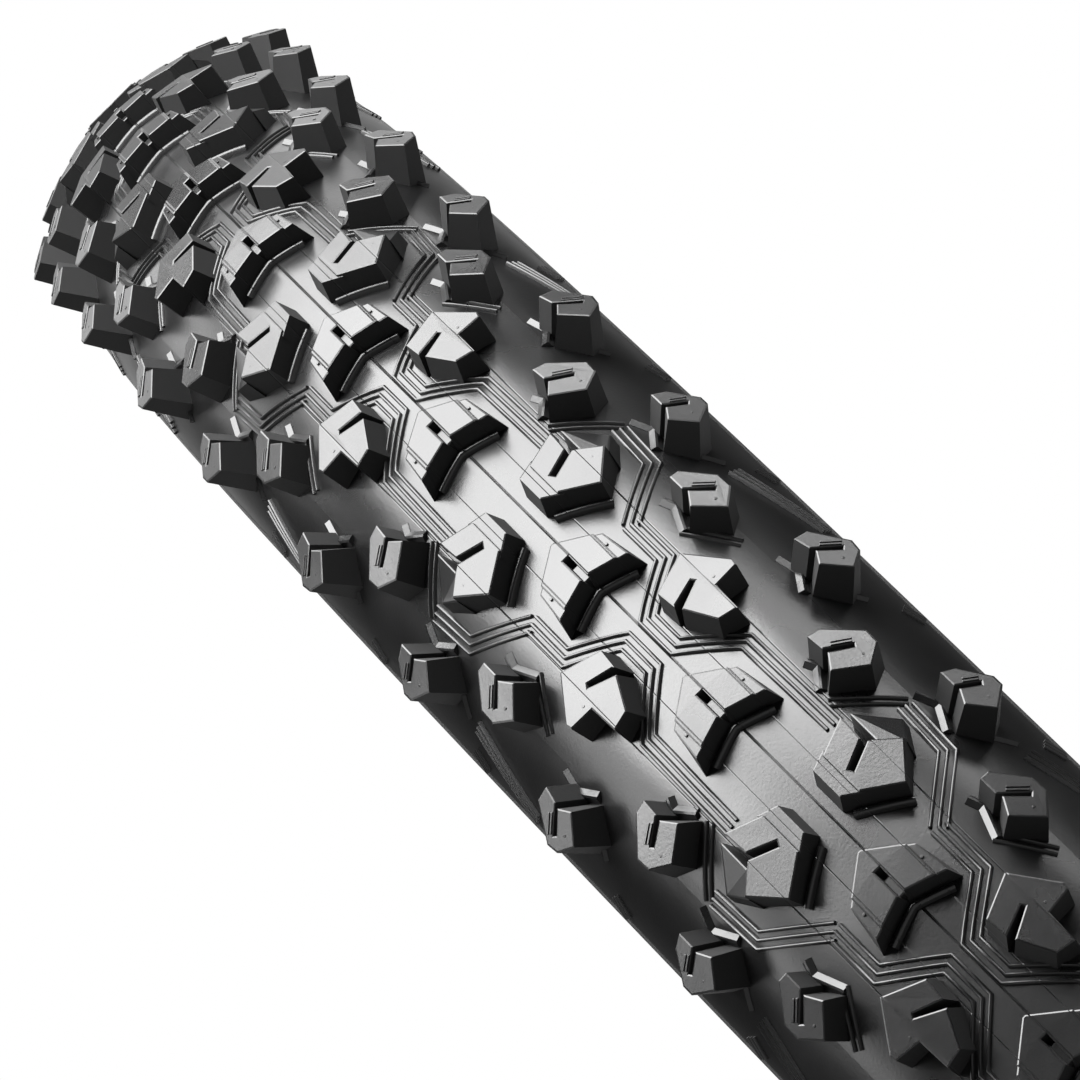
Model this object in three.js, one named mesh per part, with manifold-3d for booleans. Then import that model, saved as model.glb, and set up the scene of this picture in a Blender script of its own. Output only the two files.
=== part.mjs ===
// Mountain bike tyre, ETRTO 60-584 (27.5 x 2.35 in), as the separate layers it is moulded from.
// Millimetres. The axle line is Y through the origin, which is the middle of the wheel; +Z is up.
// The casing is round in section: a place on it is an angle from the crown (0 under the middle of
// the tread, 90 at the widest point) and a radius from the middle of the section.
import * as THREE from 'three';
import { mergeVertices } from 'three/addons/utils/BufferGeometryUtils.js';
import Module from 'manifold-3d';

const wasm = await Module();
wasm.setup();

// Size of the whole tyre
const OUTER_RADIUS = 355; // over the centre knobs
const HALF_WIDTH = 30.25; // over the outer shoulder knobs
const SECTION_CENTRE = 320.7; // axle to the middle of the round casing section
const CROWN_RADIUS = 44; // the arc across the tops of the knobs
const BEAD_SEAT = 292; // radius of the rim's bead seat
const BEAD_FACE = 15; // half the inside width of the rim, where the bead's flat side stands
const PITCHES = 30; // repeats of the tread pattern, each standing on one flat of every ring

// Layers, as inner and outer section radius. Neighbours keep a gap of 0.3.
const LINER = [26, 26.4];
const CARCASS = [26.7, 27.1];
const BELT = [27.4, 27.8];
const UNDERTREAD = [28.1, 28.7];
const TREAD = [29, 30.4];
const SIDEWALL_INNER = 27.4;
const SIDEWALL_OUTER = [30.1, 29.8, 28.6]; // at the tread edge, the widest point and the rim side

// Section angles in degrees. All layers share the turning points, so their flats stay parallel.
const TURNS = [18, 57, 91, 126];
const BELT_EDGE = 40;
const UNDERTREAD_EDGE = 72;
const CENTRE_EDGE = 41.4; // centre compound ends here
const SHOULDER_EDGES = [42, 57, 74.4]; // shoulder compound
const SIDEWALL_TOP = 75.4;

// Bead bundle
const CORE_AT = [11.6, 295.5];
const CORE_RADIUS = 1.6;
const CORE_SIDES = 6;
const PLY = CARCASS[1] - CARCASS[0];
const CHAFER = 0.6;

// Tread pattern: one pitch holds two chevron rows. S runs round the tyre against the rolling
// direction, in millimetres at the outer radius, from the tail of the first chevron.
const PITCH_ANGLE = (2 * Math.PI) / PITCHES;
const FLAT_START = 11.3; // S where a ring's flat begins, in the clear between two rows
const SECOND_ROW = 40.1; // S of the second chevron's tail
const KNOB_ROOT = 25.5; // section radius to which a knob is drawn before it is trimmed
const KNOB_TRIM = 29.7; // and the one it is trimmed to, inside the strip it stands on
const TRIM_CORE = 20; // the ring that trims the knobs is solid from here outwards
const TRIM_EDGE = 100; // and reaches past this angle on both sides
const KNOB_FLARE = 1.03; // how much larger a knob is at that root than at its top
const SMOOTHING = 0.05; // points that joining leaves within this of a straight edge are dropped

const CHEVRON = [[-8.8, 0], [-3.8, 6.2], [2.3, 6.7], [0, 0], [2.3, -6.7], [-3.8, -6.2]];
const ARROW_KNOB = [[13.3, 11.6], [17.1, 3.5], [23.3, 3.5], [28, 11.3], [22.4, 15.4]];
const NOTCH_KNOB = [
  [48.2, 11.8], [51.8, 5.4], [62.1, 9], [62.3, 12.2], [56.8, 12.3], [55.9, 16.2],
];
const TRANSITION_KNOBS = [
  [[-0.9, 16.9], [4.6, 22.9], [9.2, 19.3], [5.6, 14.8]],
  [[34, 19.2], [39.6, 22.9], [45, 20.6], [41, 17.5]],
];
const SHOULDER_KNOBS = [
  [[15.8, 26.5], [21.5, HALF_WIDTH], [25.5, 28], [22, 26.1]],
  [[55.8, 26.5], [62, HALF_WIDTH], [65.9, 28.1], [62.4, 26.5]],
];

// ---- section outlines, as [across, radius] pairs ----

/** A place on the casing section's flats, from the radius at their corners and an angle in degrees. */
function onSection(radius, degrees) {
  const { degToRad } = THREE.MathUtils;
  const from = [-TURNS[0], ...TURNS].findLast((turn) => turn < Math.abs(degrees));
  const to = TURNS.find((turn) => turn >= Math.abs(degrees));
  const toFlat = radius * Math.cos(degToRad((to - from) / 2));
  const reach = toFlat / Math.cos(degToRad(Math.abs(degrees) - (to + from) / 2));
  const angle = degToRad(degrees);
  return [reach * Math.sin(angle), SECTION_CENTRE + reach * Math.cos(angle)];
}

const mirrored = (points) => points.map(([across, radius]) => [-across, radius]);

/** Both halves of a path that crosses the crown, given its right half from the crown outwards. */
const bothHalves = (right) => [...mirrored(right).reverse(), ...right];

/** An arc-shaped layer between two section radii, through the given angles. */
function layer([inner, outer], angles) {
  const above = angles.map((angle) => onSection(outer, angle));
  const below = angles.map((angle) => onSection(inner, angle));
  return [...above, ...below.reverse()];
}

/** The outline of a strip of even thickness that follows a path. */
function strip(path, thickness) {
  const offset = (side) => path.map((point, i) => {
    const before = path[Math.max(i - 1, 0)];
    const after = path[Math.min(i + 1, path.length - 1)];
    const inward = new THREE.Vector2(point[0] - before[0], point[1] - before[1]).normalize();
    const outward = new THREE.Vector2(after[0] - point[0], after[1] - point[1]).normalize();
    if (i === 0) inward.copy(outward);
    if (i === path.length - 1) outward.copy(inward);
    const along = inward.clone().add(outward).normalize();
    const reach = (side * thickness) / 2 / along.dot(inward);
    return [point[0] - along.y * reach, point[1] + along.x * reach];
  });
  return [...offset(1), ...offset(-1).reverse()];
}

// ---- solids ----

/** A geometry with shared corners and nothing but positions, as the booleans need it. */
function bare(geometry) {
  geometry.deleteAttribute('normal');
  geometry.deleteAttribute('uv');
  return mergeVertices(geometry, 1e-4);
}

/** A closed ring round the axle from a section outline. */
function ring(outline) {
  const points = outline.map(([across, radius]) => new THREE.Vector2(radius, across));
  if (THREE.ShapeUtils.area(points) < 0) points.reverse();
  return bare(new THREE.LatheGeometry([...points, points[0]], PITCHES));
}

function toSolid(geometry) {
  const { position } = geometry.attributes;
  const triVerts = new Uint32Array(geometry.index.array);
  return new wasm.Manifold(
    new wasm.Mesh({ numProp: 3, vertProperties: new Float32Array(position.array), triVerts }),
  );
}

function toGeometry(solid) {
  const { vertProperties, triVerts } = solid.getMesh();
  const geometry = new THREE.BufferGeometry();
  geometry.setAttribute('position', new THREE.BufferAttribute(vertProperties, 3));
  geometry.setIndex(new THREE.BufferAttribute(triVerts, 1));
  return geometry;
}

/** A point of the tyre at a turn about the axle from +Z towards +X. */
function place(turn, across, radius) {
  return new THREE.Vector3(radius * Math.sin(turn), across, radius * Math.cos(turn));
}

/** One knob: its outline on the crown arc, widening downwards into the strip it stands on. */
function knob(outline, pitch) {
  const points = outline.map(([s, across]) => new THREE.Vector2(s, across));
  if (THREE.ShapeUtils.isClockWise(points)) points.reverse();
  const crown = (across) => OUTER_RADIUS - CROWN_RADIUS + Math.sqrt(CROWN_RADIUS ** 2 - across ** 2);
  const tops = points.map(({ x, y }) => {
    const turn = pitch * PITCH_ANGLE + (x - FLAT_START) / OUTER_RADIUS;
    return place(turn, y, crown(y));
  });
  const middle = new THREE.Vector3();
  tops.forEach((top) => middle.addScaledVector(top, 1 / tops.length));
  const turn = Math.atan2(middle.x, middle.z);
  const root = middle.clone().sub(place(turn, 0, SECTION_CENTRE));
  root.setLength(KNOB_ROOT).add(place(turn, 0, SECTION_CENTRE));
  const feet = tops.map((top) => top.clone().sub(middle).multiplyScalar(KNOB_FLARE).add(root));

  const count = points.length;
  const faces = THREE.ShapeUtils.triangulateShape(points, []).flatMap(([a, b, c]) => [
    a, b, c, a + count, c + count, b + count,
  ]);
  for (let i = 0; i < count; i += 1) {
    const next = (i + 1) % count;
    faces.push(i + count, next + count, next, i + count, next, i);
  }
  const geometry = new THREE.BufferGeometry().setFromPoints([...tops, ...feet]);
  geometry.setIndex(faces);
  return toSolid(geometry);
}

/** A tread compound: a curved strip with its knobs, whose roots end inside the strip. */
function treadStrip(angles, outlines) {
  const band = toSolid(ring(layer(TREAD, angles)));
  const knobs = [];
  for (let pitch = 0; pitch < PITCHES; pitch += 1) {
    knobs.push(...outlines.map((outline) => knob(outline, pitch)));
  }
  const below = toSolid(ring(layer([TRIM_CORE, KNOB_TRIM], crownTurns(TRIM_EDGE))));
  const joined = band.add(wasm.Manifold.union(knobs).subtract(below));
  return toGeometry(joined.asOriginal().simplify(SMOOTHING));
}

/** The shared turning points up to an angle, on both sides of the crown, in order. */
function crownTurns(limit) {
  const right = TURNS.filter((angle) => angle < limit);
  return [...right.map((angle) => -angle).reverse(), ...right];
}

// ---- parts ----

const RUBBER = { color: 0x1b1b1c, roughness: 0.62, metalness: 0 };
const SIDE_RUBBER = { color: 0x161617, roughness: 0.7, metalness: 0 };
const INNER_RUBBER = { color: 0x232324, roughness: 0.85, metalness: 0 };
const CORD = { color: 0x4a4438, roughness: 0.9, metalness: 0 };
const ARAMID = { color: 0xb59a4a, roughness: 0.7, metalness: 0 };

const tyre = new THREE.Group();

function add(name, geometry, look) {
  const mesh = new THREE.Mesh(geometry, new THREE.MeshStandardMaterial(look));
  mesh.name = name;
  tyre.add(mesh);
}

/** The same section on the left and on the right. */
function addPair(name, outline, look) {
  add(`${name}_right`, ring(outline), look);
  add(`${name}_left`, ring(mirrored(outline)), look);
}

// Airtight liner, open towards the rim, ending on the slope above each bead.
const linerEnd = [14.2, 301.5];
const linerPath = [...TURNS.map((angle) => onSection((LINER[0] + LINER[1]) / 2, angle)), linerEnd];
add('inner_liner', ring(strip(bothHalves(linerPath), LINER[1] - LINER[0])), INNER_RUBBER);

// Casing ply: over the crown, down inside each bead core, under it and up again outside.
const carcassPath = [
  ...TURNS.map((angle) => onSection((CARCASS[0] + CARCASS[1]) / 2, angle)),
  [9.5, 297.6], [9.5, 293.3], [13.9, 293.3], [13.9, 297.4], [19.2, 300.7],
];
add('carcass_ply', ring(strip(bothHalves(carcassPath), PLY)), CORD);

// Bead cores of coiled aramid, with the rubber fillers that stand on them inside the turn-up.
const coreOutline = [];
for (let i = 0; i < CORE_SIDES; i += 1) {
  const angle = ((i + 0.5) / CORE_SIDES) * 2 * Math.PI;
  coreOutline.push([
    CORE_AT[0] + CORE_RADIUS * Math.cos(angle),
    CORE_AT[1] + CORE_RADIUS * Math.sin(angle),
  ]);
}
addPair('bead_core', coreOutline, ARAMID);
addPair('bead_filler', [[11.2, 297.9], [13.1, 297.5], [17.8, 300.5], [17.6, 301.6]], INNER_RUBBER);

// Chafer strips round each bead: flat under the bead, flat where it stands on the rim's wall.
const seat = BEAD_SEAT + CHAFER / 2;
const face = BEAD_FACE - CHAFER / 2;
addPair('chafer', strip([[8.6, 296.4], [8.8, seat], [face, seat], [face, 296.6], [18.3, 298.7]], CHAFER),
  SIDE_RUBBER);

// Sidewall skins, thickest under the tread edge.
const sidewallAngles = [SIDEWALL_TOP, ...TURNS.slice(2)];
addPair('sidewall', [
  ...sidewallAngles.map((angle) => onSection(SIDEWALL_INNER, angle)), [20.3, 301], [19.6, 299.6],
  ...sidewallAngles.map((angle, i) => onSection(SIDEWALL_OUTER[i], angle)).reverse(),
], SIDE_RUBBER);

// Puncture belt and base rubber under the tread.
add('breaker_belt', ring(layer(BELT, [-BELT_EDGE, ...crownTurns(BELT_EDGE), BELT_EDGE])), CORD);
add('undertread',
  ring(layer(UNDERTREAD, [-UNDERTREAD_EDGE, ...crownTurns(UNDERTREAD_EDGE), UNDERTREAD_EDGE])), INNER_RUBBER);

// Tread: a centre compound with four kinds of knob, and a shoulder compound on each side.
const flipped = (outline) => outline.map(([s, across]) => [s, -across]);
const rightOfCentre = [ARROW_KNOB, NOTCH_KNOB, ...TRANSITION_KNOBS];
add('tread_centre', treadStrip([-CENTRE_EDGE, ...crownTurns(CENTRE_EDGE), CENTRE_EDGE], [
  CHEVRON,
  CHEVRON.map(([s, across]) => [s + SECOND_ROW, across]),
  ...rightOfCentre,
  ...rightOfCentre.map(flipped),
]), RUBBER);
add('tread_shoulder_right', treadStrip(SHOULDER_EDGES, SHOULDER_KNOBS), RUBBER);
add('tread_shoulder_left',
  treadStrip(SHOULDER_EDGES.map((angle) => -angle), SHOULDER_KNOBS.map(flipped)), RUBBER);

export default tyre;
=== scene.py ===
"""Looks of a 60-584 mountain bike tyre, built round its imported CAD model.

Every layer of the tyre is a ring about Y. A place on the tread pattern is (s, across): s runs
round the tyre in millimetres at the outer radius, and across is the distance from the mid plane.
Shapes are worked out in millimetres and written to the meshes in metres.
"""
import math

import bpy
import numpy as np
from mathutils import Matrix, Vector
from mathutils.geometry import tessellate_polygon


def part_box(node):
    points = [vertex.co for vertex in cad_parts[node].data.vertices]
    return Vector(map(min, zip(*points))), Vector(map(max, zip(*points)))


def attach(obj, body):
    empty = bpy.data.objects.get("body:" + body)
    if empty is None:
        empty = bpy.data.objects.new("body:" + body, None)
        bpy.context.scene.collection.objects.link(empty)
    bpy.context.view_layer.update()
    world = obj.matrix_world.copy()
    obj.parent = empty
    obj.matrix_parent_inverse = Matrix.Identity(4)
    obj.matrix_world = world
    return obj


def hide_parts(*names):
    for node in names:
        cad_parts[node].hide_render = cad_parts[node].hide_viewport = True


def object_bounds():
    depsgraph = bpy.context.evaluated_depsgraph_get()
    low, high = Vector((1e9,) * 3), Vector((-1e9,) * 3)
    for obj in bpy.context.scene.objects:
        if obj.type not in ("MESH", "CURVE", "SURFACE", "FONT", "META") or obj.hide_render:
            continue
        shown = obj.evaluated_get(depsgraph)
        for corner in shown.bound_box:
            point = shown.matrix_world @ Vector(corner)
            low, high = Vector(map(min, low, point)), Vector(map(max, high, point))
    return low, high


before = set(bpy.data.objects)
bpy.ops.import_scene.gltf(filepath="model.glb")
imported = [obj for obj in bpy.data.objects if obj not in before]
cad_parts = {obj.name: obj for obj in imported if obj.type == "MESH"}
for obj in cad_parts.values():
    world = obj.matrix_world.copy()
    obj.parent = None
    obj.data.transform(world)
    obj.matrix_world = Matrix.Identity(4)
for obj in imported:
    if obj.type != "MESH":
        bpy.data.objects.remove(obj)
cad_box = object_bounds()

MM = 0.001
SIDES = ((1, "right"), (-1, "left"))  # the sign of across and the side's name

# ---------------------------------------------------------------- driving dimensions, in mm
OUTER_RADIUS = 1000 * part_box("tread_centre")[1].z  # over the centre knobs
SECTION_CENTRE = 320.7  # axle to the middle of the round casing section
CROWN_RADIUS = 44  # the arc across the tops of the knobs
TREAD_BASE = 30.4  # section radius of the rubber between the knobs
PITCHES = 30
PITCH_ANGLE = 2 * math.pi / PITCHES
FLAT_START = 11.3  # s of the first pitch's start
SECOND_ROW = 40.1  # s from one chevron's tail to the next one's
CENTRE_EDGE = 41.7  # degrees of section where centre and shoulder compound meet
TREAD_EDGE = 75  # and where the tread meets the sidewall
SINK = 0.4  # how deep knobs and ribs are set into the rubber under them
RING_STEPS = 240  # pieces of a ring that is seen
INNER_STEPS = 180  # and of one that lies inside the tyre


# ---------------------------------------------------------------- places on the tyre

def place(s, across, radius):
    """The point in mm at distance s round the tread, for one distance across and from the axle."""
    turn = (s - FLAT_START) / OUTER_RADIUS
    return (radius * math.sin(turn), across, radius * math.cos(turn))


def on_section(radius, degrees):
    """(across, from axle) of a place on the round section."""
    angle = math.radians(degrees)
    return (radius * math.sin(angle), SECTION_CENTRE + radius * math.cos(angle))


def on_base(s, arc, height=0.0):
    """A point above the rubber between the knobs, arc being measured over the crown from the middle."""
    across, radius = on_section(TREAD_BASE + height, math.degrees(arc / TREAD_BASE))
    return place(s, across, radius)


def arc_of(across):
    """The distance over the crown to a place this far from the mid plane."""
    return TREAD_BASE * math.asin(across / TREAD_BASE)


def crown_radius(across):
    return OUTER_RADIUS - CROWN_RADIUS + math.sqrt(CROWN_RADIUS ** 2 - across ** 2)


# ---------------------------------------------------------------- mesh building

class Shape:
    """Points and faces gathered in mm, turned into one mesh at the end."""

    def __init__(self):
        self.points = []
        self.faces = []
        self.rounded = []  # for each face, whether it is part of a rounded surface

    def add(self, points, faces, rounded=False):
        start = len(self.points)
        self.points.extend(points)
        self.faces.extend(tuple(start + i for i in face) for face in faces)
        self.rounded.extend([rounded] * len(faces))

    def repeated(self):
        """The same shape once for each pitch of the tread."""
        points = np.array(self.points)
        turned = []
        faces = []
        for pitch in range(PITCHES):
            sin, cos = math.sin(pitch * PITCH_ANGLE), math.cos(pitch * PITCH_ANGLE)
            x = points[:, 0] * cos + points[:, 2] * sin
            z = points[:, 2] * cos - points[:, 0] * sin
            turned.append(np.stack([x, points[:, 1], z], axis=1))
            start = pitch * len(points)
            faces.extend(tuple(start + i for i in face) for face in self.faces)
        whole = Shape()
        whole.points = [tuple(p) for p in np.concatenate(turned)]
        whole.faces = faces
        whole.rounded = self.rounded * PITCHES
        return whole

    def join(self, other):
        self.add(other.points, other.faces)
        self.rounded[-len(other.faces):] = other.rounded
        return self


def signed_area(outline):
    return sum(a[0] * b[1] - b[0] * a[1] for a, b in zip(outline, outline[1:] + outline[:1])) / 2


def circle(x, y, radius, count):
    """The corners of a regular polygon round a point."""
    turns = [2 * math.pi * i / count for i in range(count)]
    return [(x + radius * math.cos(turn), y + radius * math.sin(turn)) for turn in turns]


def ring(outline, steps=RING_STEPS):
    """A closed ring round the axle from a closed outline of (across, from axle) pairs."""
    if signed_area(outline) < 0:
        outline = outline[::-1]
    count = len(outline)
    points = []
    for step in range(steps):
        turn = 2 * math.pi * step / steps
        points.extend((r * math.sin(turn), y, r * math.cos(turn)) for y, r in outline)
    faces = []
    for step in range(steps):
        here, after = step * count, (step + 1) % steps * count
        for i in range(count):
            j = (i + 1) % count
            faces.append((here + i, here + j, after + j, after + i))
    shape = Shape()
    shape.add(points, faces, rounded=True)
    return shape


def layer(inner, outer, low, high, step=3):
    """The outline of an arc-shaped layer between two section radii and two angles, in degrees."""
    count = max(2, round(abs(high - low) / step))
    angles = [low + (high - low) * i / count for i in range(count + 1)]
    over = [on_section(outer, a) for a in angles]
    under = [on_section(inner, a) for a in reversed(angles)]
    return over + under


NO_LENGTH = 1e-6
CORNER_LIMIT = 0.45  # keeps the point of a sharp corner from being moved too far
BEND_LIMIT = 0.5  # the same for a strip's edge at a bend


def grown(outline, by):
    """A polygon with its corners moved outwards, all by one distance or each by its own."""
    count = len(outline)
    reach = by if isinstance(by, list) else [by] * count
    turn = 1 if signed_area(outline) > 0 else -1
    corners = []
    for i, (s, y) in enumerate(outline):
        before, after = outline[i - 1], outline[(i + 1) % count]
        into = Vector((s - before[0], y - before[1])).normalized()
        out = Vector((after[0] - s, after[1] - y)).normalized()
        normal = Vector((into.y + out.y, -into.x - out.x)) * turn
        if normal.length < NO_LENGTH:
            normal = Vector((into.y, -into.x)) * turn
        normal.normalize()
        slant = max(CORNER_LIMIT, normal.dot(Vector((into.y, -into.x)) * turn))
        corners.append((s + normal.x * reach[i] / slant, y + normal.y * reach[i] / slant))
    return corners


def bend(path, i):
    """The direction of a path at its point i, and how much wider a strip along it has to be there."""
    here, before, after = path[i], path[max(i - 1, 0)], path[min(i + 1, len(path) - 1)]
    into = Vector((here[0] - before[0], here[1] - before[1]))
    out = Vector((after[0] - here[0], after[1] - here[1]))
    into = (into if into.length else out).normalized()
    out = (out if out.length else into).normalized()
    along = (into + out).normalized()
    return along, 1 / max(BEND_LIMIT, along.dot(into))


def mirrored(outline):
    return [(s, -across) for s, across in outline]


def both_sides(build, shape, outline, **options):
    """Runs a builder for an outline and for its mirror image."""
    build(shape, outline, **options)
    build(shape, mirrored(outline), **options)


# ---------------------------------------------------------------- knobs and ribs

EDGE = 0.22  # width of the shallow bevel round a knob's top
FINE_EDGE = 0.05  # the same on vent stubs and fine lines
BEVEL = 0.5  # the fall of either for each unit of its width
LEAD_DRAFT = 0.15  # how far a knob's foot stands out beyond its top where it meets the ground first
TRAIL_DRAFT = 0.8  # and at its far end
STEEP = 0.3  # the share of the draft on walls that face along the tread
PULL = 0.72  # how far a knob's walls turn with the section; at 1 they would point at its middle


def drafts_along(outline):
    """How far each corner's foot stands out beyond its top, more and more toward the far end."""
    lead = min(s for s, _ in outline)
    length = max(s for s, _ in outline) - lead
    return [LEAD_DRAFT + (TRAIL_DRAFT - LEAD_DRAFT) * (s - lead) / length for s, _ in outline]


def block(shape, outline, drop=0.0, draft=None, edge=EDGE, level_at=None, level=1.0):
    """One knob, or one step of a knob, with a flat top that leans as the crown does at its middle.

    drop is how far its top lies below the crown arc: a number, or one for each corner. draft is
    how far its foot stands out all round, and drafts_along() says how far when it isn't given.
    level_at is where the crown gives the top its lean, for a step that lies parallel to its
    knob's top, and level is the share of that lean the top takes.
    """
    drops = list(drop) if isinstance(drop, (list, tuple)) else [drop] * len(outline)
    if signed_area(outline) < 0:
        outline, drops = outline[::-1], drops[::-1]
    middle = sum(y for _, y in outline) / len(outline)
    if level_at is not None:
        middle = math.copysign(level_at, middle)
    lean = -level * middle / math.sqrt(CROWN_RADIUS ** 2 - middle ** 2)
    height = crown_radius(middle)
    turn = PULL * math.atan2(middle, height - SECTION_CENTRE)
    pull = Vector((math.sin(turn), math.cos(turn)))

    def top(point, lower):
        across = point[1]
        return across, height + lean * (across - middle) - lower

    def foot(point, lower):
        across, radius = top(point, lower)
        start = Vector((across, radius - SECTION_CENTRE))
        along = start.dot(pull)
        depth = along - math.sqrt(along ** 2 - start.dot(start) + (TREAD_BASE - SINK) ** 2)
        end = start - pull * depth
        return end.x, SECTION_CENTRE + end.y

    count = len(outline)
    inner = grown(outline, -edge)
    points = [place(p[0], *top(p, d)) for p, d in zip(inner, drops)]
    points += [place(p[0], *top(p, d + edge * BEVEL)) for p, d in zip(outline, drops)]
    outer = grown(outline, drafts_along(outline) if draft is None else draft)
    feet = [(s + (wide[0] - s) * STEEP, wide[1]) for (s, _), wide in zip(outline, outer)]
    points += [place(p[0], *foot(p, d)) for p, d in zip(feet, drops)]
    flat = [Vector((s, y, 0)) for s, y in inner]
    faces = []
    for a, b, c in tessellate_polygon([flat]):
        wound = (flat[b] - flat[a]).cross(flat[c] - flat[a]).z > 0
        faces.append((a, b, c) if wound else (a, c, b))
    bottoms = [tuple(2 * count + i for i in reversed(face)) for face in faces]
    for i in range(count):
        j = (i + 1) % count
        for upper in (0, count):
            lower = upper + count
            faces.append((lower + i, lower + j, upper + j, upper + i))
    shape.add(points, faces + bottoms)


# Sections of raised lines: offsets in widths and rises in heights. None is the sunk foot.
RIB_SECTION = ((-0.5, None), (-0.4, 0.55), (-0.16, 1.0), (0.16, 1.0), (0.4, 0.55), (0.5, None))
BAR_SECTION = ((-0.52, None), (-0.5, 0.1), (-0.1, 1.0), (0.1, 1.0), (0.5, 0.1), (0.52, None))
RIB_WIDTH = 0.66
RIB_HEIGHT = 0.42
LONGEST_ROUND = 6  # the longest straight stretch of a rib round the tyre
LONGEST_ACROSS = 1.5  # and over the crown


def ridge(shape, path, width=RIB_WIDTH, height=RIB_HEIGHT, shift=0.0, section=RIB_SECTION):
    """A raised line along (s, arc) points on the rubber between the knobs, moved sideways by shift."""
    fine = []
    for (s0, a0), (s1, a1) in zip(path, path[1:]):
        longest = max(abs(a1 - a0) / LONGEST_ACROSS, abs(s1 - s0) / LONGEST_ROUND)
        count = max(1, math.ceil(longest))
        fine.extend((s0 + (s1 - s0) * i / count, a0 + (a1 - a0) * i / count) for i in range(count))
    fine.append(path[-1])
    points = []
    for i, here in enumerate(fine):
        along, stretch = bend(fine, i)
        side = Vector((-along.y, along.x)) * stretch
        for offset, rise in section:
            at = Vector(here) + side * (offset * width + shift)
            points.append(on_base(at.x, at.y, -SINK if rise is None else rise * height))
    faces = []
    last = len(fine) - 1
    around = len(section)
    for i in range(last):
        for k in range(around):
            n = (k + 1) % around
            faces.append(tuple(around * i + m for m in (k, n, around + n, around + k)))
    faces.append(tuple(range(around - 1, -1, -1)))
    faces.append(tuple(around * last + k for k in range(around)))
    shape.add(points, faces, rounded=section is RIB_SECTION)


# ---------------------------------------------------------------- materials

def links(material):
    """The node tree's nodes and a short way to join two sockets."""
    tree = material.node_tree
    return tree.nodes, tree.links.new


def math_node(nodes, link, operation, *inputs):
    """A Math node with each input either a number or a socket to link."""
    node = nodes.new("ShaderNodeMath")
    node.operation = operation
    for socket, value in zip(node.inputs, inputs):
        if isinstance(value, (int, float)):
            socket.default_value = value
        else:
            link(value, socket)
    return node.outputs[0]


def spread_between(nodes, link, value, low, high, limits=(0.0, 1.0)):
    """Maps a socket's range onto low to high."""
    node = nodes.new("ShaderNodeMapRange")
    node.inputs["From Min"].default_value, node.inputs["From Max"].default_value = limits
    node.inputs["To Min"].default_value = low
    node.inputs["To Max"].default_value = high
    link(value, node.inputs["Value"])
    return node.outputs["Result"]


def noise(nodes, link, where, scale, detail=2):
    node = nodes.new("ShaderNodeTexNoise")
    node.inputs["Scale"].default_value = scale
    node.inputs["Detail"].default_value = detail
    link(where, node.inputs["Vector"])
    return node.outputs["Fac"]


def vector_node(nodes, link, operation, *inputs):
    """A Vector Math node with each input either a vector or a socket to link."""
    node = nodes.new("ShaderNodeVectorMath")
    node.operation = operation
    for socket, value in zip(node.inputs, inputs):
        if isinstance(value, tuple):
            socket.default_value = value
        else:
            link(value, socket)
    return node.outputs["Value" if operation == "DOT_PRODUCT" else "Vector"]


def outward(nodes, link, where, normal):
    """How far a surface faces out of the round section: 1 on it and nearly 0 on a knob's walls."""
    radial = vector_node(nodes, link, "MULTIPLY", where, (1, 0, 1))
    radial = vector_node(nodes, link, "NORMALIZE", radial)
    middle = vector_node(nodes, link, "MULTIPLY", radial, (SECTION_CENTRE * MM,) * 3)
    out = vector_node(nodes, link, "SUBTRACT", where, middle)
    out = vector_node(nodes, link, "NORMALIZE", out)
    return vector_node(nodes, link, "DOT_PRODUCT", out, normal)


def set_colour(nodes, link, colour, brightness):
    """Gives the shader a colour that is brighter and darker from place to place."""
    base = nodes.new("ShaderNodeVectorMath")
    base.operation = "SCALE"
    base.inputs[0].default_value = colour
    link(brightness, base.inputs["Scale"])
    link(base.outputs["Vector"], nodes["Principled BSDF"].inputs["Base Color"])


def set_bump(nodes, link, height, strength, distance):
    bump = nodes.new("ShaderNodeBump")
    bump.inputs["Strength"].default_value = strength
    bump.inputs["Distance"].default_value = distance
    link(height, bump.inputs["Height"])
    link(bump.outputs["Normal"], nodes["Principled BSDF"].inputs["Normal"])


CLOUD_SCALE, CLOUD_DETAIL = 42, 7  # the uneven bloom on rubber
CLOUD_SHADES = (0.5, 1.5)
CLOUD_RANGE = (0.25, 0.75)  # nearly all of the noise lies between these
CLOUD_GLOSS = 0.06  # how far the roughness goes up and down with it
WAVES = 0.07  # height of the slight unevenness of moulded rubber, in mm
GRAIN_SCALE, GRAIN_DETAIL = 2200, 4
GRAIN = 0.016  # height of the fine texture on the tread, in mm
WALL_FACING = (0.35, 0.6)  # range of outward() over which a wall turns into a top


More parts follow.
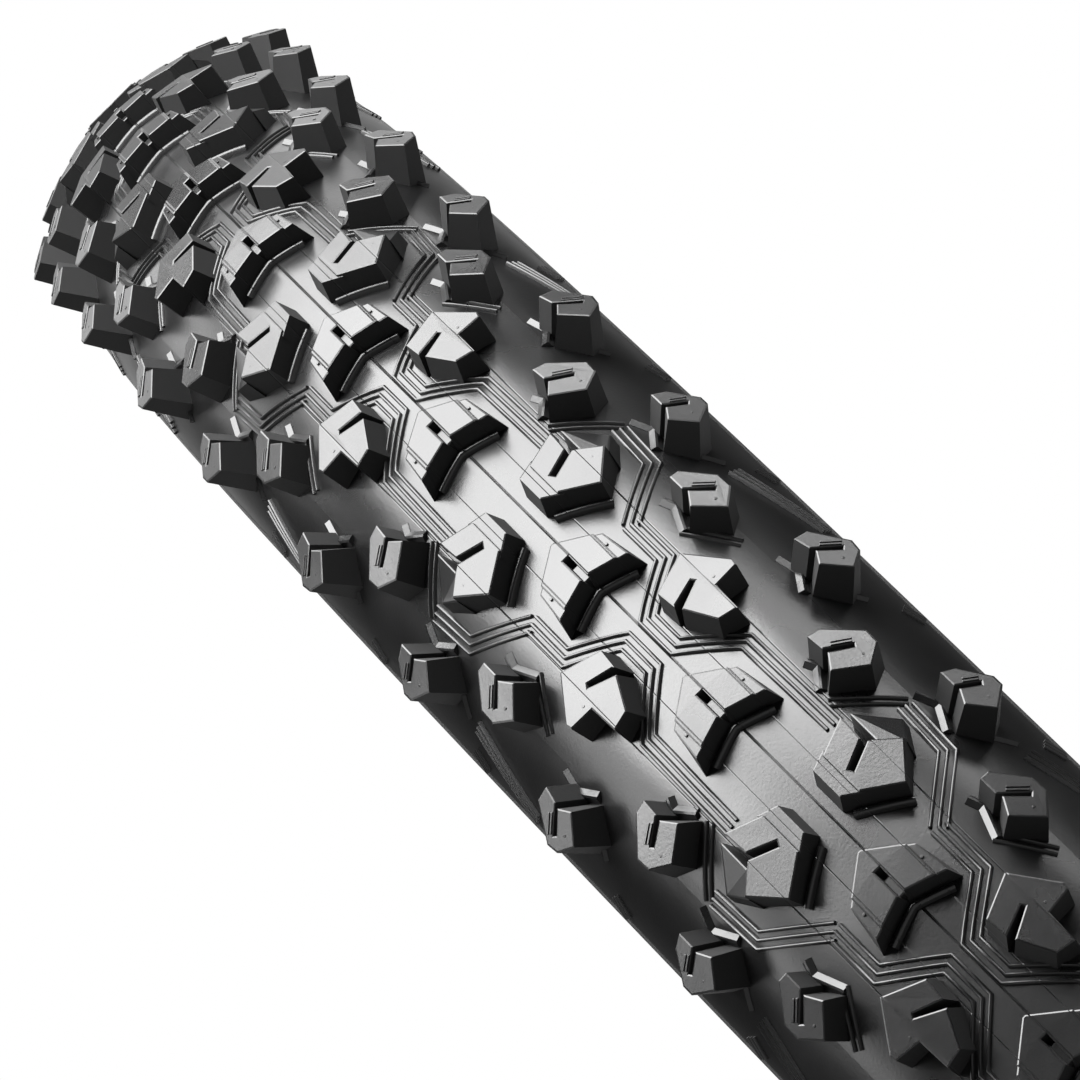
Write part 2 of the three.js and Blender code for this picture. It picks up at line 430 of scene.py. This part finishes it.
def rubber(name, colour, rough, grain=GRAIN, split_lines=(), wall_rough=None):
    """Moulded black rubber: uneven bloom, fine mould texture and grooves where the mould parts meet.

    grain is the height of the fine texture, and each split line is (across, half width, depth).
    wall_rough is the roughness of the knobs' walls, which the mould leaves duller than their tops.
    """
    material = bpy.data.materials.new(name)
    material.use_nodes = True
    nodes, link = links(material)
    shader = nodes["Principled BSDF"]
    coordinates = nodes.new("ShaderNodeTexCoord")
    where = coordinates.outputs["Object"]
    cloud = noise(nodes, link, where, CLOUD_SCALE, CLOUD_DETAIL)
    fine = noise(nodes, link, where, GRAIN_SCALE, GRAIN_DETAIL)

    set_colour(nodes, link, colour, spread_between(nodes, link, cloud, *CLOUD_SHADES))
    gloss = spread_between(nodes, link, cloud, rough - CLOUD_GLOSS, rough + CLOUD_GLOSS, CLOUD_RANGE)
    if wall_rough is not None:
        facing = outward(nodes, link, where, coordinates.outputs["Normal"])
        duller = spread_between(nodes, link, facing, wall_rough - rough, 0, WALL_FACING)
        gloss = math_node(nodes, link, "ADD", gloss, duller)
    link(gloss, shader.inputs["Roughness"])

    height = math_node(nodes, link, "MULTIPLY", fine, grain * MM)
    waves = math_node(nodes, link, "MULTIPLY", cloud, WAVES * MM)
    height = math_node(nodes, link, "ADD", height, waves)
    split = nodes.new("ShaderNodeSeparateXYZ")
    link(where, split.inputs["Vector"])
    for across, half_width, depth in split_lines:
        away = math_node(nodes, link, "SUBTRACT", split.outputs["Y"], across * MM)
        away = math_node(nodes, link, "ABSOLUTE", away)
        groove = spread_between(nodes, link, away, -depth * MM, 0, (0, half_width * MM))
        height = math_node(nodes, link, "ADD", height, groove)
    set_bump(nodes, link, height, 1, 1)
    return material


THREAD_UNEVENNESS = 0.6
THREAD_UNEVENNESS_SCALE = 30
THREAD_HEIGHT = 0.15  # in mm
THREAD_STRENGTH = 0.7
THREAD_SHADE = 0.5  # how much of a fabric's shading follows its threads
STAIN_SCALE = 70
STAIN_SHADES = (0.6, 1.2)


def cord_fabric(name, colour, rough, fineness, slant=0.0):
    """Rubberised cord or weave: fine parallel threads round the tyre, with uneven colour.

    fineness is the scale of the wave pattern. 800 gives a thread every 0.4 mm. slant is in radians.
    """
    material = bpy.data.materials.new(name)
    material.use_nodes = True
    nodes, link = links(material)
    nodes["Principled BSDF"].inputs["Roughness"].default_value = rough
    where = nodes.new("ShaderNodeTexCoord").outputs["Object"]
    turned = nodes.new("ShaderNodeMapping")
    turned.inputs["Rotation"].default_value = (0, 0, slant)
    link(where, turned.inputs["Vector"])
    threads = nodes.new("ShaderNodeTexWave")
    threads.bands_direction = "Y"
    threads.inputs["Scale"].default_value = fineness
    threads.inputs["Distortion"].default_value = THREAD_UNEVENNESS
    threads.inputs["Detail Scale"].default_value = THREAD_UNEVENNESS_SCALE
    link(turned.outputs["Vector"], threads.inputs["Vector"])
    thread = threads.outputs["Fac"]
    stain = noise(nodes, link, where, STAIN_SCALE)
    mixed = math_node(nodes, link, "MULTIPLY_ADD", thread, THREAD_SHADE, stain)
    set_colour(nodes, link, colour, spread_between(nodes, link, mixed, *STAIN_SHADES))
    set_bump(nodes, link, thread, THREAD_STRENGTH, THREAD_HEIGHT * MM)
    return material


# Lines where the parts of the mould meet: (across, half width, depth) in mm.
SPLITS = ((0.7, 0.22, 0.12), (-4.6, 0.13, 0.07), (4.8, 0.13, 0.07), (-11.6, 0.13, 0.07),
          (11.9, 0.13, 0.07))
BLACK = (0.0035, 0.0035, 0.0036)
WALL_ROUGH = 0.75
TREAD = rubber("tread_rubber", BLACK, 0.28, split_lines=SPLITS, wall_rough=WALL_ROUGH)
SHOULDER = rubber("shoulder_rubber", BLACK, 0.32, wall_rough=WALL_ROUGH)
SIDE = rubber("sidewall_rubber", BLACK, 0.46, grain=0.02)
CHAFER = cord_fabric("chafer_weave", (0.010, 0.010, 0.0103), 0.6, fineness=800, slant=0.78)
BASE_RUBBER = rubber("base_rubber", (0.035, 0.035, 0.036), 0.65)
LINER = rubber("liner_rubber", (0.040, 0.040, 0.041), 0.6, grain=0.03)
PLY = cord_fabric("casing_cord", (0.16, 0.13, 0.09), 0.8, fineness=700, slant=0.8)
BELT = cord_fabric("belt_weave", (0.22, 0.19, 0.12), 0.8, fineness=600, slant=0.5)
ARAMID = cord_fabric("aramid_yarn", (0.55, 0.42, 0.16), 0.6, fineness=1100)


def piece(name, shape, material, node, smooth=35):
    """Makes a mesh object that stands for a CAD node and rides with the tyre.

    Faces that meet at less than smooth degrees look rounded, where the shape says they are.
    """
    mesh = bpy.data.meshes.new(name)
    mesh.from_pydata([(x * MM, y * MM, z * MM) for x, y, z in shape.points], [], shape.faces)
    mesh.materials.append(material)
    mesh.set_sharp_from_angle(angle=math.radians(smooth))
    mesh.polygons.foreach_set("use_smooth", shape.rounded)
    made = bpy.data.objects.new(name, mesh)
    bpy.context.scene.collection.objects.link(made)
    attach(made, "root")
    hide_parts(node)


# ---------------------------------------------------------------- tread pattern

# Outlines are (s, across) in mm, on the right side and within one pitch unless a comment says more.
SLOT = 0.6  # half the width of a chevron's slot
STRIP = 5.2  # where a chevron's lower outer strips begin
STEP = 0.45  # how much lower the stepped strips are
SLOT_DEPTH = 1.2


def mirror_joined(half):
    """The outline made of one half, listed from front to back, and its mirror image."""
    return half + mirrored(half)[::-1]


def moved(outline, tail):
    return [(tail + s, y) for s, y in outline]


CHEVRON = mirror_joined([(-8.8, 0.25), (-3.8, 6.2), (2.35, 6.75), (0.15, SLOT), (-4.9, SLOT)])
CHEVRON_TOP = mirror_joined(
    [(-8.8, 0.25), (-4.6, STRIP), (1.85, STRIP), (0.15, SLOT), (-4.9, SLOT)])
SLOT_FLOOR = mirror_joined([(-3.6, 0.7), (-0.1, 0.7)])
CHEVRON_FOOT = [(3.2, -5.8), (1.2, 0), (3.2, 5.8)]
FOOT_WIDTH = 1.4  # of the rounded bead along the foot of a trailing wall
FOOT_HEIGHT = 0.95


def chevron(shape, tail):
    """An arrowhead across the middle, slotted from behind, with a lower strip on each end."""
    block(shape, moved(CHEVRON, tail), drop=STEP, level_at=0)
    block(shape, moved(CHEVRON_TOP, tail), level_at=0)
    block(shape, moved(SLOT_FLOOR, tail), drop=SLOT_DEPTH, draft=0, level_at=0)
    ridge(shape, moved(CHEVRON_FOOT, tail), width=FOOT_WIDTH, height=FOOT_HEIGHT)


ARROW = [
    (13.5, 11.2), (16.6, 5.8), (24.6, 5.8), (28.2, 11.2), (22.4, 15.3), (19.9, 12.5),
    (19.2, 11.5), (21.75, 7.25), (20.85, 6.75), (18.2, 11.0), (15.0, 11.2),
]
ARROW_MIDDLE = 9.9
ARROW_DRAFT = 0.35
ARROW_STRIP = [(15.6, 6.4), (17.2, 3.4), (23.2, 3.4), (25.2, 6.4)]
ARROW_FOOT = [(24.8, 3.1), (29.1, 10.3)]
ARROW_RAMP = [(13.2, 12.4), (19.6, 12.4), (22.6, 15.2), (18.0, 17.0)]
RAMP_DROPS = [1.2, 0.8, 1.2, 3.2]
NOTCHED = [
    (48.2, 11.8), (51.8, 5.6), (55.6, 5.9), (53.4, 10.2), (54.0, 10.6), (56.8, 6.4),
    (62.1, 9.0), (62.4, 12.0), (56.9, 12.2), (56.0, 16.2), (54.8, 16.4),
]
TRANSITION = [
    [(-0.9, 15.9), (-0.9, 17.9), (3.6, 22.3), (6.3, 22.2), (9.2, 19.3), (6.3, 14.7),
     (3.3, 16.3), (5.0, 19.5), (4.4, 19.8), (2.3, 16.1)],
    [(34.3, 18.5), (34.0, 20.0), (38.5, 23.6), (41.6, 23.7), (45.2, 21.2), (41.6, 17.5),
     (38.5, 18.9), (41.0, 21.7), (40.5, 22.1), (37.6, 18.5)],
]
SHOULDER_KNOBS = [
    [(15.5, 25.2), (16.2, 27.2), (20.4, 30.0), (22.4, 30.0), (25.6, 27.2), (22.3, 24.3),
     (19.5, 25.4), (20.8, 28.0), (20.2, 28.3), (18.6, 25.2)],
    [(56.0, 24.4), (55.7, 26.6), (61.0, 30.0), (63.4, 29.8), (65.9, 27.5), (62.5, 24.3),
     (59.8, 25.4), (61.9, 28.2), (61.3, 28.6), (58.9, 25.0)],
]

SHOULDER_FEET = [[(22.3, 21.2), (27.2, 25.6)], [(61.3, 21.2), (65.6, 25.6)]]
SHOULDER_FOOT_WIDTH = 0.9
SHOULDER_FOOT_HEIGHT = 0.6
OUTER_LINES = [[(7.6, 11.4), (13.8, 19.3)], [(40.6, 14.2), (47.6, 19.0)]]

RIB_GAP = 1.22  # between the three ribs of a bundle
BUNDLE = (-RIB_GAP, 0, RIB_GAP)
PAIR = (RIB_GAP / 2, -RIB_GAP / 2)
HONEYCOMB = [(34.6, 9.9), (43.8, 9.9), (50.9, 2.2), (58.0, 2.2), (65.1, 9.6), (85.6, 9.9)]
OUTER_RIBS = [(14.3, 18.6), (24.6, 18.2), (34.6, 9.9)]
BAR_WIDTH = 1.8
BAR_HEIGHT = 0.65
BARS = [  # short thick ribs before the outer knobs
    [(13.0, 20.6), (16.4, 22.0), (21.6, 20.1)],
    [(53.0, 21.1), (56.9, 21.9), (61.6, 20.1)],
    [(33.3, 15.4), (35.7, 16.2), (41.2, 14.5)],
    [(-0.5, 13.2), (1.4, 14.0), (5.2, 11.9)],
]
VENTS = [(-1.6, 5.5), (38.5, 5.5), (22.8, 13.0), (55.4, 12.8), (6.8, 19.6), (42.6, 20.9)]
SHOULDER_VENTS = [(23.0, 27.6), (63.4, 27.4)]
SHOULDER_RIBS = [(29.6, 30.4), (36.0, 33.2), (45.5, 37.6)]  # (s, arc)
SHOULDER_RIB_HEIGHT = 0.6
EDGE_MARKS = (27.0, 67.0)  # s of the groups of short ribs at the tread's edge
EDGE_MARK = [(0, 36.6), (2.8, 39.2)]  # (s from the mark's start, arc)

TRANSITION_LEVEL = 0.9  # how much of the crown's lean the tops of these knobs take
SHOULDER_LEVEL = 0.75
SLOT_CORNERS = (6, 7, 8, 9)  # of an outer knob's outline: mouth, end, end, mouth
SLOT_LINES = (0.8, 1.35)  # from the slot to the two fine raised lines beside it
LINE_START = 0.9  # from the slot's mouth
LINE_END = 0.2  # from its end
LINE_WIDTH = 0.32
LINE_HEIGHT = 0.18
VENT_RADIUS = 0.24
VENT_HEIGHT = 0.12


def outer_knob(shape, outline, level):
    """A transition or shoulder knob: its top is slotted and has two fine lines along the slot."""
    block(shape, outline, level=level)
    middle = sum(across for _, across in outline) / len(outline)
    near, end, far_end, far = (Vector(outline[i]) for i in SLOT_CORNERS)
    mouth, end = (near + far) / 2, (end + far_end) / 2
    along = (end - mouth).normalized()
    ahead = Vector((-abs(along.y), math.copysign(along.x, along.y)))
    half = ahead * LINE_WIDTH / 2
    for offset in SLOT_LINES:
        start = mouth + along * LINE_START + ahead * offset
        finish = end - along * LINE_END + ahead * offset
        corners = [tuple(c) for c in (start - half, finish - half, finish + half, start + half)]
        block(shape, corners, drop=-LINE_HEIGHT, draft=0, edge=FINE_EDGE, level_at=abs(middle),
              level=level)


def vent(shape, s, across):
    """The little round stub that a vent hole leaves on a knob's top."""
    block(shape, circle(s, across, VENT_RADIUS, 6), drop=-VENT_HEIGHT, draft=0, edge=FINE_EDGE)


def side_ridges(shape, path, side, shifts=(0,), **options):
    """Ribs along a path of (s, across) points on one side, one for each sideways shift."""
    arcs = [(s, side * arc_of(across)) for s, across in path]
    for shift in shifts:
        ridge(shape, arcs, shift=shift, **options)


def centre_pattern():
    """One pitch of the centre compound's knobs and ribs."""
    shape = Shape()
    for tail in (0, SECOND_ROW):
        chevron(shape, tail)
    both_sides(block, shape, ARROW, draft=ARROW_DRAFT, level_at=ARROW_MIDDLE)
    both_sides(block, shape, ARROW_STRIP, drop=STEP, draft=ARROW_DRAFT, level_at=ARROW_MIDDLE)
    both_sides(block, shape, ARROW_RAMP, drop=RAMP_DROPS, level_at=ARROW_MIDDLE)
    both_sides(block, shape, NOTCHED)
    for outline in TRANSITION:
        both_sides(outer_knob, shape, outline, level=TRANSITION_LEVEL)
    for side, _ in SIDES:
        side_ridges(shape, ARROW_FOOT, side, width=FOOT_WIDTH, height=FOOT_HEIGHT)
        side_ridges(shape, HONEYCOMB, side, BUNDLE)
        side_ridges(shape, OUTER_RIBS, side, BUNDLE)
        for line in OUTER_LINES:
            side_ridges(shape, line, side, PAIR)
        for bar in BARS:
            side_ridges(shape, bar, side, width=BAR_WIDTH, height=BAR_HEIGHT, section=BAR_SECTION)
        for s, across in VENTS:
            vent(shape, s, side * across)
    return shape


def shoulder_pattern(side):
    """One pitch of one shoulder's knobs and ribs."""
    shape = Shape()
    for outline in SHOULDER_KNOBS:
        outer_knob(shape, outline if side > 0 else mirrored(outline), SHOULDER_LEVEL)
    for foot in SHOULDER_FEET:
        side_ridges(shape, foot, side, width=SHOULDER_FOOT_WIDTH, height=SHOULDER_FOOT_HEIGHT,
                    section=BAR_SECTION)
    for s, across in SHOULDER_VENTS:
        vent(shape, s, side * across)
    for shift in BUNDLE:
        ribs = [(s, side * arc) for s, arc in SHOULDER_RIBS]
        ridge(shape, ribs, height=SHOULDER_RIB_HEIGHT, shift=shift)
        for start in EDGE_MARKS:
            ridge(shape, [(start + s, side * arc) for s, arc in EDGE_MARK], shift=shift)
    return shape


TREAD_UNDERSIDE = 29  # section radius
TREAD_SMOOTH = 60


def build_tread():
    centre = ring(layer(TREAD_UNDERSIDE, TREAD_BASE, -CENTRE_EDGE, CENTRE_EDGE))
    centre.join(centre_pattern().repeated())
    piece("tread_centre_moulded", centre, TREAD, "tread_centre", TREAD_SMOOTH)
    for side, word in SIDES:
        strip = ring(layer(TREAD_UNDERSIDE, TREAD_BASE, side * CENTRE_EDGE, side * TREAD_EDGE))
        strip.join(shoulder_pattern(side).repeated())
        piece(f"tread_shoulder_{word}_moulded", strip, SHOULDER,
              f"tread_shoulder_{word}", TREAD_SMOOTH)


# ---------------------------------------------------------------- casing, sidewalls and beads

def flip(outline, side):
    return [(side * across, radius) for across, radius in outline]


def band(path, thickness):
    """The outline of a strip of even thickness along a path of (across, from axle) points."""
    over, under = [], []
    for i, (across, radius) in enumerate(path):
        along, stretch = bend(path, i)
        reach = thickness / 2 * stretch
        over.append((across - along.y * reach, radius + along.x * reach))
        under.append((across + along.y * reach, radius - along.x * reach))
    return over + under[::-1]


CORNER_SHARE = 1 / 2.2  # how much of a stretch of path one rounded corner may take


def rounded(path, radius, steps=4):
    """A path with the corners between its ends rounded."""
    smooth = [path[0]]
    for before, corner, after in zip(path, path[1:], path[2:]):
        a, b, c = Vector(before), Vector(corner), Vector(after)
        reach = min(radius, (a - b).length * CORNER_SHARE, (c - b).length * CORNER_SHARE)
        start, end = b + (a - b).normalized() * reach, b + (c - b).normalized() * reach
        for i in range(steps + 1):
            t = i / steps
            smooth.append(tuple(start * (1 - t) ** 2 + b * 2 * t * (1 - t) + end * t ** 2))
    smooth.append(path[-1])
    return smooth


def arc_path(radius, low, high, step=4):
    """Places on the round section from one angle to another, in degrees."""
    count = round(abs(high - low) / step)
    return [on_section(radius, low + (high - low) * i / count) for i in range(count + 1)]


def both_halves(right):
    """The whole path across the tyre from its right half, which starts just off the middle."""
    return flip(right, -1)[::-1] + right


# Sections are (across, from axle) in mm, on the right side. Names ending in AT are in degrees.
SEAT = 292.3  # middle of the chafer's thickness where the bead sits on the rim
FACE = 14.7  # and where it stands against the rim's wall
CORE_MIDDLE = (11.6, 295.5)
CORE_RADIUS = 1.6
CORE_SIDES = 16
FILLER = [(11.2, 297.9), (13.1, 297.5), (17.8, 300.5), (17.6, 301.6)]
CHAFER_PATH = [(8.6, 297.2), (8.7, SEAT), (FACE, SEAT), (FACE, 296.6), (18.75, 298.96)]
CHAFER_CORNER = 1.2
CHAFER_THICKNESS = 0.6

SIDE_END_AT = 130
SIDE_TIP = (18.8, 299.0)  # where the skin meets the chafer outside
SIDE_FOOT = (20.3, 301.0)  # and its inner corner there
SIDE_STEPS = 110
SIDE_RADIUS = 30.15  # of the skin's outside under the tread's edge
SIDE_INNER_RADIUS = 27.4
SIDE_INNER_AT = 127
SIDE_THINNING = 1.5  # how much less the outer radius is at the far end
SIDE_TAPER = 1.3  # power by which it gets there
SIDE_LINES_AT = (80.0, 82.5, 85.0, 118.0, 121.0, 127.0)
SIDE_LINE_HALF = 0.3  # in degrees
SIDE_LINE_HEIGHT = 0.22

LINER_RADIUS = 26.2
LINER_END_AT = 126
LINER_TOE = (9.4, 298.3)
PLY_RADIUS = 26.9
PLY_END_AT = 124
PLY_TURN_UP = [(20.9, 303.9), (9.5, 297.6), (9.5, 293.3), (13.9, 293.3), (13.9, 297.4),
               (19.2, 300.7)]
PLY_CORNER = 0.8
SHEET_THICKNESS = 0.4  # of the liner and the ply
BELT_RADII = (27.4, 27.8)
BELT_EDGE_AT = 40
UNDERTREAD_RADII = (28.1, 28.7)
UNDERTREAD_EDGE_AT = 72
INNER_STEP_AT = 5


def build_beads():
    for side, word in SIDES:
        core = circle(*CORE_MIDDLE, CORE_RADIUS, CORE_SIDES)
        piece(f"bead_core_{word}_yarn", ring(flip(core, side), INNER_STEPS), ARAMID,
              f"bead_core_{word}")
        piece(f"bead_filler_{word}_rubber", ring(flip(FILLER, side), INNER_STEPS), BASE_RUBBER,
              f"bead_filler_{word}")
        wrap = band(rounded(CHAFER_PATH, CHAFER_CORNER), CHAFER_THICKNESS)
        piece(f"chafer_{word}_woven", ring(flip(wrap, side)), CHAFER,
              f"chafer_{word}")


def sidewall_outline():
    """The skin's section: thickest under the tread's edge, with fine raised lines round it."""
    outer = []
    for i in range(SIDE_STEPS + 1):
        way = i / SIDE_STEPS
        degrees = TREAD_EDGE + (SIDE_END_AT - TREAD_EDGE) * way
        radius = SIDE_RADIUS - SIDE_THINNING * way ** SIDE_TAPER
        if min(abs(degrees - line) for line in SIDE_LINES_AT) < SIDE_LINE_HALF:
            radius += SIDE_LINE_HEIGHT
        outer.append(on_section(radius, degrees))
    inner = arc_path(SIDE_INNER_RADIUS, SIDE_INNER_AT, TREAD_EDGE)
    return outer + [SIDE_TIP, SIDE_FOOT] + inner


def build_casing():
    for side, word in SIDES:
        piece(f"sidewall_{word}_moulded", ring(flip(sidewall_outline(), side)), SIDE,
              f"sidewall_{word}", smooth=30)
    liner = arc_path(LINER_RADIUS, 0, LINER_END_AT)[1:] + [LINER_TOE]
    piece("inner_liner_sheet", ring(band(both_halves(liner), SHEET_THICKNESS)), LINER,
          "inner_liner")
    ply = arc_path(PLY_RADIUS, 0, PLY_END_AT)[1:] + rounded(PLY_TURN_UP, PLY_CORNER)
    piece("carcass_ply_cord", ring(band(both_halves(ply), SHEET_THICKNESS), INNER_STEPS), PLY,
          "carcass_ply")
    belt = layer(*BELT_RADII, -BELT_EDGE_AT, BELT_EDGE_AT, INNER_STEP_AT)
    piece("breaker_belt_weave", ring(belt, INNER_STEPS), BELT, "breaker_belt")
    under = layer(*UNDERTREAD_RADII, -UNDERTREAD_EDGE_AT, UNDERTREAD_EDGE_AT, INNER_STEP_AT)
    piece("undertread_rubber", ring(under, INNER_STEPS), BASE_RUBBER,
          "undertread")


# ---------------------------------------------------------------- studio

CAMERA_TURN = math.radians(96.344)  # place of the camera round the wheel, from the top
CAMERA_REACH = 1.303  # from the axle
CAMERA_ACROSS = -0.0007
LOOK_UP = 0.1919  # radians above the line from the camera to the axle
ROLL = math.radians(45)
SENSOR_WIDTH = 36  # mm
FOCAL_LENGTH = 242.5  # mm
CLIPPING = (0.05, 50)

WHITE = (1, 1, 1, 1)
ROOM_LIGHT = 0.03
BACKDROP_LIGHT = 0.12
BACKDROP_EDGES = (-0.7, -0.97)  # X of the directions where the backdrop fades in and is full
FLOOR_HALF = 8.0
FLOOR_GAP = 0.0005
FLOOR_SHADES = (0.74, 0.78)
FLOOR_SPECKLE = 3
FLOOR_ROUGH = 0.9
FLOOR_WASH = 2.3
WASH_ANGLE = math.radians(70)  # how wide the floor's own light spreads
BOX_HEIGHT = 1.7
OVERHEAD = [  # the big softbox overhead: from x, to x and half its width in metres, and radiance
    ("overhead_apron", 1.66, 2.1, 0.9, 3.5),
    ("overhead_front", 0.8, 1.62, 1.35, 19),
    ("overhead_middle", 0.4, 0.8, 1.2, 14),
    ("overhead_back", 0.05, 0.4, 0.8, 12),
    ("overhead_rear", -0.3, 0.05, 0.45, 8),
]
WING_X = (0.25, 0.95)  # the dimmer softboxes on each side of it
WING_Y = (1.4, 3.9)
WING_RADIANCE = 5.5
# The other softboxes: where it is, where it points, its two sides in metres, and its watts.
REAR_BOX = ((-1.3, 0, 1.4), (0, 0, 0.2), 1.4, 1.2, 3)
BACK_BOX = ((-3, 0, -0.1), (0, 0, -0.1), 2.4, 0.6, 9)
SIDE_BOX = ((0, 3, 0.2), (0, 0, 0), 2.5, 1.0, 5)  # this and the next have a mirror image
FAR_BOX = ((-0.85, 0.75, BOX_HEIGHT), (-0.85, 0.75, 0), 0.8, 0.8, 4.5)


def build_camera():
    data = bpy.data.cameras.new("camera")
    camera = bpy.data.objects.new("camera", data)
    bpy.context.scene.collection.objects.link(camera)
    bpy.context.scene.camera = camera
    data.sensor_width = SENSOR_WIDTH
    data.lens = FOCAL_LENGTH
    data.clip_start, data.clip_end = CLIPPING
    out = Vector((math.sin(CAMERA_TURN), 0, math.cos(CAMERA_TURN)))
    over = Vector((-math.cos(CAMERA_TURN), 0, math.sin(CAMERA_TURN)))
    ahead = -math.cos(LOOK_UP) * out + math.sin(LOOK_UP) * over
    up = math.sin(LOOK_UP) * out + math.cos(LOOK_UP) * over
    right = ahead.cross(up)
    rolled_right = math.cos(ROLL) * right - math.sin(ROLL) * up
    rolled_up = math.sin(ROLL) * right + math.cos(ROLL) * up
    place_at = out * CAMERA_REACH + Vector((0, CAMERA_ACROSS, 0))
    turn = Matrix((rolled_right, rolled_up, -ahead)).transposed()
    camera.matrix_world = Matrix.Translation(place_at) @ turn.to_4x4()


def soft_box(name, at, target, width, height, power):
    """A rectangular area light at one point that faces another."""
    data = bpy.data.lights.new(name, "AREA")
    data.shape = "RECTANGLE"
    data.size, data.size_y = width, height
    data.energy = power
    lamp = bpy.data.objects.new(name, data)
    bpy.context.scene.collection.objects.link(lamp)
    lamp.location = at
    lamp.rotation_mode = "QUATERNION"
    lamp.rotation_quaternion = (Vector(target) - Vector(at)).to_track_quat("-Z", "Y")
    return lamp


def overhead_box(name, from_x, to_x, from_y, to_y, radiance):
    """A soft box that faces straight down from the boxes' height."""
    middle = ((from_x + to_x) / 2, (from_y + to_y) / 2)
    deep, wide = to_x - from_x, abs(to_y - from_y)
    power = radiance * math.pi * deep * wide
    return soft_box(name, (*middle, BOX_HEIGHT), (*middle, 0), deep, wide, power)


def on_side(box, side):
    """A soft box's values, mirrored for the left side."""
    at, target, *rest = box
    return [(x, side * y, z) for x, y, z in (at, target)] + rest


def build_world():
    """White behind the object, a bright backdrop for it to reflect, and little light elsewhere."""
    world = bpy.data.worlds.new("studio")
    bpy.context.scene.world = world
    world.use_nodes = True
    nodes, link = world.node_tree.nodes, world.node_tree.links.new
    paper = nodes["Background"]
    paper.inputs["Color"].default_value = WHITE
    room = nodes.new("ShaderNodeBackground")
    room.inputs["Color"].default_value = WHITE
    direction = nodes.new("ShaderNodeSeparateXYZ")
    link(nodes.new("ShaderNodeTexCoord").outputs["Generated"], direction.inputs["Vector"])
    glow = nodes.new("ShaderNodeMapRange")
    glow.interpolation_type = "SMOOTHSTEP"
    glow.inputs["From Min"].default_value, glow.inputs["From Max"].default_value = BACKDROP_EDGES
    glow.inputs["To Min"].default_value = ROOM_LIGHT
    glow.inputs["To Max"].default_value = BACKDROP_LIGHT
    link(direction.outputs["X"], glow.inputs["Value"])
    link(glow.outputs["Result"], room.inputs["Strength"])
    seen = nodes.new("ShaderNodeLightPath")
    mix = nodes.new("ShaderNodeMixShader")
    link(seen.outputs["Is Camera Ray"], mix.inputs["Fac"])
    link(room.outputs["Background"], mix.inputs[1])
    link(paper.outputs["Background"], mix.inputs[2])
    link(mix.outputs["Shader"], nodes["World Output"].inputs["Surface"])


def build_floor():
    mesh = bpy.data.meshes.new("floor")
    low = cad_box[0].z - FLOOR_GAP
    corners = [(-FLOOR_HALF, -FLOOR_HALF), (FLOOR_HALF, -FLOOR_HALF), (FLOOR_HALF, FLOOR_HALF),
               (-FLOOR_HALF, FLOOR_HALF)]
    mesh.from_pydata([(x, y, low) for x, y in corners], [], [(0, 1, 2, 3)])
    floor = bpy.data.objects.new("floor", mesh)
    bpy.context.scene.collection.objects.link(floor)
    paper = bpy.data.materials.new("floor_paper")
    paper.use_nodes = True
    nodes, link = links(paper)
    shader = nodes["Principled BSDF"]
    where = nodes.new("ShaderNodeTexCoord").outputs["Generated"]
    speckle = noise(nodes, link, where, FLOOR_SPECKLE)
    link(spread_between(nodes, link, speckle, *FLOOR_SHADES), shader.inputs["Base Color"])
    shader.inputs["Roughness"].default_value = FLOOR_ROUGH
    mesh.materials.append(paper)
    return floor


def light_floor(floor):
    """A light for the floor alone, which keeps it pale without making the tyre grey."""
    data = bpy.data.lights.new("floor_wash", "SUN")
    data.energy = FLOOR_WASH
    data.angle = WASH_ANGLE
    wash = bpy.data.objects.new("floor_wash", data)
    bpy.context.scene.collection.objects.link(wash)
    only = bpy.data.collections.new("lit_by_floor_wash")
    only.objects.link(floor)
    wash.light_linking.receiver_collection = only


def keep_off(boxes, floor):
    """Keeps the light of these boxes off the floor."""
    dark = bpy.data.collections.new("not_lit_by_boxes")
    dark.objects.link(floor)
    dark.collection_objects[0].light_linking.link_state = "EXCLUDE"
    for box in boxes:
        box.light_linking.receiver_collection = dark


def build_studio():
    bpy.context.scene.view_settings.view_transform = "Standard"
    build_world()
    floor = build_floor()
    boxes = [overhead_box(name, low, high, -half_width, half_width, radiance)
             for name, low, high, half_width, radiance in OVERHEAD]
    boxes.append(soft_box("rear_box", *REAR_BOX))
    for side, word in SIDES:
        boxes.append(soft_box(f"side_box_{word}", *on_side(SIDE_BOX, side)))
        near, far = (side * y for y in WING_Y)
        boxes.append(overhead_box(f"wing_{word}", *WING_X, near, far, WING_RADIANCE))
        boxes.append(soft_box(f"far_box_{word}", *on_side(FAR_BOX, side)))
    boxes.append(soft_box("back_box", *BACK_BOX))
    keep_off(boxes, floor)
    light_floor(floor)


build_tread()
build_beads()
build_casing()
build_camera()
build_studio()
